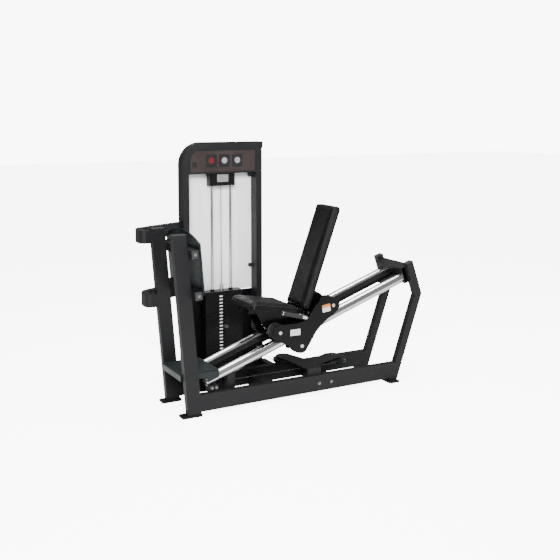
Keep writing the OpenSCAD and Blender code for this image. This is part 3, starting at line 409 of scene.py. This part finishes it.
def makeNylon(name, colour):
    f = Finish(name, specular=0.25)
    turned = f.noise(180, 3)
    rub = f.noise(24, 3).ramp(0.4, 0.7)
    f.put(colour=f.mix(rub * 0.6, colour, tuple(c * 2.0 for c in colour)),
          roughness=turned * 0.14 + 0.34,
          normal=f.bump(turned, 0.0003, 0.25, f.softEdge(0.001)))
    return f.material


# black upholstery with a sewn line that follows the pad's outline
def makeVinyl(name, centre, tilt, half, corner, upright, inset=0.020):
    f = Finish(name, specular=0.13, sheen=0.004, sheenRoughness=0.4)
    x, y, z = f.turned(centre, tilt)
    along = z if upright else x
    reachA = along.size() - (half[0] - corner)
    reachB = y.size() - (half[1] - corner)
    outside = ((reachA.most(0.0)) ** 2 + (reachB.most(0.0)) ** 2) ** 0.5
    edge = outside + reachA.most(reachB).least(0.0) - corner + inset
    groove = 1 - edge.size().ramp(0.0, 0.0035)
    stitch = (1 - (edge - 0.006).size().ramp(0.0007, 0.0014)) * ((along + y) * 900).wave().ramp(-0.3, 0.1)
    leather = f.cells(520)
    crease = f.noise(26, 4, roughness=0.6)
    wear = f.noise(7, 4).ramp(0.35, 0.75)
    cover = f.mix(wear * 0.5, (0.0014, 0.0014, 0.0015), (0.0032, 0.0032, 0.0035))
    f.put(colour=f.mix(stitch, cover, (0.02, 0.02, 0.02)),
          roughness=wear * 0.12 + crease * 0.1 + 0.34,
          normal=f.bump(leather * 0.35 + crease * 0.5 - groove * 2.2 + stitch * 0.8, 0.0011, 0.55))
    return f.material


finishes = {
    "frame_paint": makeFramePaint(), "panel_paint": makePanelPaint(), "plate_gloss": makePlateGloss(),
    "rail_steel": makeRailSteel(), "bright_steel": makeZinc(), "deck": makeDeckPaint(),
    "frosted": makeFrosted(), "sign": makeSign(), "black_plastic": makeBlackPlastic(),
    "stack_iron": makeStackIron(), "label": makeLabel(), "grip_rubber": makeGrip(),
    "cable": makeCable(), "pull_knob": makePullKnob(), "deck_rubber": makeDeckRubber("step_rubber", 0, False),
    "roller_nylon": makeNylon("roller_nylon", (0.012, 0.012, 0.013)),
    "vinyl": makeBlackPlastic("pad_core", (0.01, 0.01, 0.01), 0.4),
}
special = {
    "frame_bolts": makeBoltSteel(),
    "footplate_mat": makeDeckRubber("footplate_rubber", -machine["legLean"], True),
    "sign_tiles": makeTiles(), "guide_rods": makeGuideRod(),
    "near_disc": makeNylon("disc_green_black", (0.0035, 0.006, 0.006)),
    "far_disc": makeNylon("far_disc_green_black", (0.0035, 0.006, 0.006)),
}
slotOf = {part["node"]: part["material_slot"] for part in frame["record"]["subparts"]}
for name, obj in nodes.items():
    chosen = special.get(name) or finishes[slotOf[name]]
    obj.data.materials.clear()
    obj.data.materials.append(chosen)
print("finishes made")

# floor and light
studio = {"floorSize": 60, "floor": (0.90, 0.90, 0.90), "floorGlow": 7.0, "world": (1.0, 1.0, 1.0),
          "worldPower": 0.32, "backdropPower": 9.0}
bm = bmesh.new()
bmesh.ops.create_grid(bm, x_segments=1, y_segments=1, size=studio["floorSize"] / 2)
floor = objectFrom(bm, "studio_floor", False)
# the camera sees the paper and the backdrop brighter than the machine does
paper = Finish("studio_paper", specular=0.1, roughness=0.9, colour=studio["floor"],
               glowPower=studio["floorGlow"])
paper.put(glow=paper.mix(paper.node("ShaderNodeLightPath"), (0, 0, 0), (1, 1, 1)))
floor.data.materials.append(paper.material)

world = bpy.data.worlds.new("studio_world")
world.use_nodes = True
links = world.node_tree.links
background = world.node_tree.nodes["Background"]
background.inputs[0].default_value = (*studio["world"], 1)
seen = world.node_tree.nodes.new("ShaderNodeLightPath")
power = world.node_tree.nodes.new("ShaderNodeMapRange")
power.inputs["To Min"].default_value = studio["worldPower"]
power.inputs["To Max"].default_value = studio["backdropPower"]
links.new(seen.outputs["Is Camera Ray"], power.inputs["Value"])
links.new(power.outputs[0], background.inputs[1])
bpy.context.scene.world = world


def areaLight(name, place, target, size, power):
    data = bpy.data.lights.new(name, "AREA")
    data.shape = "RECTANGLE"
    data.size, data.size_y = size
    data.energy = power
    light = bpy.data.objects.new(name, data)
    light.location = place
    light.rotation_mode = "QUATERNION"
    light.rotation_quaternion = (Vector(target) - Vector(place)).to_track_quat("-Z", "Y")
    bpy.context.collection.objects.link(light)


lights = {  # place, target, size, watts
    "key_softbox": ((-3.0, -4.6, 3.8), (0, 0, 0.7), (2.4, 1.8), 760),
    "side_softbox": ((4.4, -2.6, 2.6), (0, 0, 0.9), (1.4, 2.6), 150),
    "top_softbox": ((0, 0.2, 4.8), (0, 0, 0), (3.2, 2.4), 330),
}
for name, settings in lights.items():
    areaLight(name, *settings)
print("studio ready")

# upholstery
seat = {"length": 0.395, "width": 0.382, "thick": 0.055, "corner": 0.046, "tilt": math.radians(10),
        "front": Vector((0.555, 0, 0.745)), "rearCorner": 0.008, "seam": 0.020}
back = {"length": 0.814, "width": 0.290, "thick": 0.0547, "corner": 0.024, "lean": math.radians(20),
        "pivot": Vector((1.075, 0, 0.600)), "front": -0.089, "low": 0.011,
        "seam": 0.018}
foam = {"voxel": 0.006, "pressure": 4.0, "frames": 20, "cap": 0.008, "shrink": 0.004, "soft": 0.014}


# a flat pad: length along x, width along y, its sitting face up at z = 0
def paddedBlock(name, size, corner, rearCorner, seamInset):
    length, width, thick = size
    bm = bmesh.new()
    bmesh.ops.create_cube(bm, size=1)
    shrink = foam["shrink"]
    bmesh.ops.scale(bm, vec=(length - 2 * shrink, width - 2 * shrink, thick - shrink), verts=bm.verts)
    bmesh.ops.translate(bm, vec=(0, 0, -thick / 2 - shrink / 2), verts=bm.verts)
    posts = [e for e in bm.edges if abs(e.verts[0].co.z - e.verts[1].co.z) > thick / 2]
    fronts = [e for e in posts if e.verts[0].co.x < 0]
    rears = [e for e in posts if e.verts[0].co.x > 0]
    bmesh.ops.bevel(bm, geom=fronts, offset=corner, segments=8, affect="EDGES", profile=0.5, material=-1)
    bmesh.ops.bevel(bm, geom=[e for e in rears if e.is_valid], offset=rearCorner, segments=6,
                    affect="EDGES", profile=0.5, material=-1)
    bm.normal_update()
    rims = [e for e in bm.edges if min(v.co.z for v in e.verts) > -thick / 2
            and any(abs(f.normal.z) > 0.9 for f in e.link_faces)
            and any(abs(f.normal.z) < 0.1 for f in e.link_faces)]
    bmesh.ops.bevel(bm, geom=rims, offset=foam["soft"], segments=4, affect="EDGES", profile=0.5, material=-1)
    pad = objectFrom(bm, name)
    grid = pad.modifiers.new("even_grid", "REMESH")
    grid.mode = "VOXEL"
    grid.voxel_size = foam["voxel"]
    settle(pad)
    swell(pad, thick)
    soften = pad.modifiers.new("soften", "SMOOTH")
    soften.iterations = 3
    finer = pad.modifiers.new("finer", "SUBSURF")
    finer.levels = finer.render_levels = 1
    settle(pad)
    for vertex in pad.data.vertices:  # the sewn line pulls the cover down
        point = vertex.co
        if point.z > -thick * 0.4:
            a = abs(point.x) - (length / 2 - corner)
            b = abs(point.y) - (width / 2 - corner)
            gap = math.hypot(max(a, 0), max(b, 0)) + min(max(a, b), 0) - corner + seamInset
            point.z -= 0.0016 * math.exp(-(gap / 0.0035) ** 2)
    for face in pad.data.polygons:
        face.use_smooth = True
    return pad


def settle(obj):  # replaces the mesh with what its modifiers give
    deps = bpy.context.evaluated_depsgraph_get()
    mesh = bpy.data.meshes.new_from_object(obj.evaluated_get(deps))
    obj.modifiers.clear()
    obj.data = mesh


def swell(pad, thick):
    start = [v.co.copy() for v in pad.data.vertices]
    held = pad.vertex_groups.new(name="held")
    held.add([v.index for v in pad.data.vertices if v.co.z < -thick * 0.8], 1.0, "REPLACE")
    cloth = pad.modifiers.new("swell", "CLOTH")
    cloth.settings.vertex_group_mass = "held"
    cloth.settings.use_pressure = True
    cloth.settings.uniform_pressure_force = foam["pressure"]
    cloth.settings.effector_weights.gravity = 0
    cloth.point_cache.frame_end = foam["frames"]
    for step in range(1, foam["frames"] + 1):
        bpy.context.scene.frame_set(step)
    deps = bpy.context.evaluated_depsgraph_get()
    blown = [v.co.copy() for v in pad.evaluated_get(deps).data.vertices]
    pad.modifiers.clear()
    for vertex, before, after in zip(pad.data.vertices, start, blown):
        move = after - before
        if move.length > foam["cap"]:
            move = move.normalized() * foam["cap"]
        vertex.co = before + move
    bpy.context.scene.frame_set(1)


def placeMesh(obj, matrix):
    obj.data.transform(matrix)
    obj.data.update()


seatCentre = Matrix.Translation((seat["length"] / 2, 0, 0))
seatPlace = Matrix.Translation(machine["shift"] + seat["front"]) @ Matrix.Rotation(seat["tilt"], 4, "Y")
seatPad = paddedBlock("seat_cushion", (seat["length"], seat["width"], seat["thick"]),
                      seat["corner"], seat["rearCorner"], seat["seam"])
placeMesh(seatPad, seatPlace @ seatCentre)
middle = seatPlace @ Vector((seat["length"] / 2, 0, 0))
seatPad.data.materials.append(makeVinyl("seat_vinyl", middle, seat["tilt"],
                                        (seat["length"] / 2, seat["width"] / 2), seat["corner"], False))
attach(seatPad, "carriage")
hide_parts("seat_pad")
print("seat cushion made")

backTurn = Matrix.Translation(machine["shift"] + back["pivot"]) @ Matrix.Rotation(back["lean"], 4, "Y")
backMiddle = back["low"] + back["length"] / 2
upright = Matrix(((0, 0, -1, back["front"]), (0, 1, 0, 0), (1, 0, 0, backMiddle), (0, 0, 0, 1)))
backPad = paddedBlock("back_cushion", (back["length"], back["width"], back["thick"]),
                      back["corner"], back["corner"], back["seam"])
placeMesh(backPad, backTurn @ upright)
middle = backTurn @ Vector((back["front"], 0, backMiddle))
backPad.data.materials.append(makeVinyl("back_vinyl", middle, back["lean"],
                                        (back["length"] / 2, back["width"] / 2), back["corner"], True, back["seam"]))
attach(backPad, "backrest")
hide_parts("back_pad")
print("back cushion made")

# a slab that lies flat in the XZ plane, its edges rounded towards -Y
def roundedSlab(bm, size, centre, corner, edge, turn=0.0):
    made = bmesh.ops.create_cube(bm, size=1)["verts"]
    bmesh.ops.scale(bm, vec=size, verts=made)
    corners = [e for e in bm.edges if abs(e.verts[0].co.y - e.verts[1].co.y) > size[1] / 2]
    bmesh.ops.bevel(bm, geom=corners, offset=corner, segments=5, affect="EDGES", profile=0.5,
                    material=-1)
    front = [e for e in bm.edges if max(v.co.y for v in e.verts) < 0]
    bmesh.ops.bevel(bm, geom=front, offset=edge, segments=2, affect="EDGES", profile=0.5, material=-1)
    bmesh.ops.rotate(bm, verts=bm.verts, matrix=Matrix.Rotation(turn, 3, "Y"))
    bmesh.ops.translate(bm, verts=bm.verts, vec=centre)


# the black clips on the rear panel's edge
clip = {
    "heights": {"upper": 1.600, "lower": 0.880},
    "x": 0.905, "panelFront": 0.563, "postFace": 0.927,
    "outline": [(0, -0.024), (0.010, -0.024), (0.0135, -0.0225), (0.015, -0.019), (0.015, -0.011),
                (0.0125, -0.009), (0.009, -0.008), (0.009, -0.0005), (0, -0.0005)],  # radius, depth
    "armDepth": 0.007, "armHeight": 0.014, "armLap": 0.004,
}


def panelClip(name, height):
    bm = bmesh.new()
    points = [bm.verts.new((r, y, 0)) for r, y in clip["outline"]]
    edges = [bm.edges.new(pair) for pair in zip(points, points[1:])]
    bmesh.ops.spin(bm, geom=points + edges, cent=(0, 0, 0), axis=(0, 1, 0), angle=math.tau, steps=40)
    bmesh.ops.remove_doubles(bm, verts=bm.verts, dist=1e-5)
    bmesh.ops.recalc_face_normals(bm, faces=bm.faces)
    arm = bmesh.new()
    reach = clip["postFace"] - clip["x"]
    roundedSlab(arm, (reach + clip["armLap"], clip["armDepth"], clip["armHeight"]),
                (reach / 2, -0.0045, 0), 0.003, 0.001)
    armMesh = bpy.data.meshes.new(name + "_arm")
    arm.to_mesh(armMesh)
    arm.free()
    bm.from_mesh(armMesh)
    obj = objectFrom(bm, name)
    place = machine["shift"] + Vector((clip["x"], clip["panelFront"], height))
    placeMesh(obj, Matrix.Translation(place))
    obj.data.materials.append(finishes["pull_knob"])
    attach(obj, "frame")


for which, height in clip["heights"].items():
    panelClip("panel_clip_" + which, height)

# the metal plate on the pulley housing
faceplate = {"middle": (0.646, 0.4880, 1.586), "size": (0.094, 0.0016, 0.058), "corner": 0.004,
              "edge": 0.0004}


def makeBrushed():
    f = Finish("brushed_plate", metallic=1.0)
    brush = f.noise(900, 3, f.stretched((30, 1, 1)))
    f.put(colour=f.mix(brush, (0.55, 0.55, 0.56), (0.75, 0.75, 0.76)), roughness=brush * 0.15 + 0.25,
          normal=f.bump(brush, 0.0001, 0.2))
    return f.material


bm = bmesh.new()
roundedSlab(bm, faceplate["size"], (0, -faceplate["size"][1] / 2, 0), faceplate["corner"],
            faceplate["edge"])
housingPlate = objectFrom(bm, "housing_plate", False)
placeMesh(housingPlate, Matrix.Translation(machine["shift"] + Vector(faceplate["middle"])))
housingPlate.data.materials.append(makeBrushed())
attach(housingPlate, "frame")


def makeField(name, colour, band, split):  # a bare field with a plain band along its top
    f = Finish(name, specular=0.4)
    x, y, z = f.turned(split[0], split[1])
    upper = z.ramp(-0.0004, 0.0004)
    f.put(colour=f.mix(upper, f.mix(f.noise(70, 3), colour, tuple(c * 0.85 for c in colour)), band),
          roughness=f.noise(50, 3) * 0.12 + 0.32)
    return f.material


# two bare fields on the near side plate; along and across follow the rails from their lower ends
fields = {
    "label_field_front": {"along": 0.751, "across": 0.034, "size": (0.084, 0.0006, 0.046), "turn": 0.0,
                          "colour": (0.62, 0.62, 0.62), "band": (0.52, 0.52, 0.52), "bandRise": 0.012},
    "label_field_rear": {"along": 1.052, "across": 0.091, "size": (0.070, 0.0006, 0.056), "turn": -0.12,
                         "colour": (0.62, 0.60, 0.57), "band": (0.50, 0.16, 0.03), "bandRise": 0.006},
}
sidePlate = {"face": -0.190, "railStart": (0.208, 0.212)}
cosRail, sinRail = math.cos(machine["railAngle"]), math.sin(machine["railAngle"])
for name, look in fields.items():
    middle = Vector((sidePlate["railStart"][0] + look["along"] * cosRail - look["across"] * sinRail,
                     sidePlate["face"],
                     sidePlate["railStart"][1] + look["along"] * sinRail + look["across"] * cosRail))
    middle += machine["shift"]
    bm = bmesh.new()
    roundedSlab(bm, look["size"], (0, -look["size"][1] / 2, 0), 0.004, 0.0002, look["turn"])
    field = objectFrom(bm, name, False)
    placeMesh(field, Matrix.Translation(middle))
    bandStart = middle + Vector((0, 0, look["bandRise"]))
    field.data.materials.append(makeField(name + "_print", look["colour"], look["band"],
                                          (bandStart, look["turn"])))
    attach(field, "carriage")
print("trim made")
